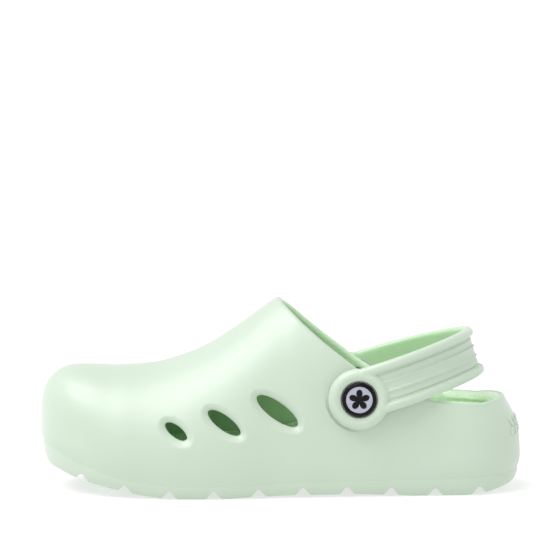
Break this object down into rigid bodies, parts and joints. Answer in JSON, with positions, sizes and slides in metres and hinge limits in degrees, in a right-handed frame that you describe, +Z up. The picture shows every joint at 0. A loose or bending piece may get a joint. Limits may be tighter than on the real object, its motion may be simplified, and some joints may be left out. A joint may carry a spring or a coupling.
{
  "type": "garden clog",
  "caption": "Moulded rubber garden clog for the left foot: closed bulbous toe, slanted vents in the outer side, lugged sole and a riveted heel strap that swings over the instep.",
  "frame": {"origin": "middle of the footprint, on the ground", "axes": "-X towards the toe, -Y towards the outer (lateral) side of the left foot, +Z up"},
  "size_m": [0.256, 0.0986, 0.1019],
  "materials": {
    "body_rubber": "matt moulded, fine grain",
    "sole_rubber": "matt moulded, fine grain",
    "footbed_rubber": "matt, small nubs",
    "strap_rubber": "matt moulded, fine grain",
    "rivet_black": "gloss",
    "emblem_silver": "silver-grey satin print"
  },
  "bodies": {
    "clog": {"clog_body": "body_rubber", "outsole": "sole_rubber", "footbed": "footbed_rubber", "lateral_rivet_cap": "rivet_black", "medial_rivet_cap": "rivet_black", "lateral_rivet_stud": "rivet_black", "medial_rivet_stud": "rivet_black", "lateral_rivet_emblem": "emblem_silver", "medial_rivet_emblem": "emblem_silver"},
    "strap": {"heel_strap": "strap_rubber"}
  },
  "joints": [
    {"name": "strap_swing", "type": "hinge", "parent": "clog", "child": "strap", "pos_m": [0.041, 0, 0.052], "axis": [0, -1, 0], "range_deg": [-4, 93]}
  ]
}
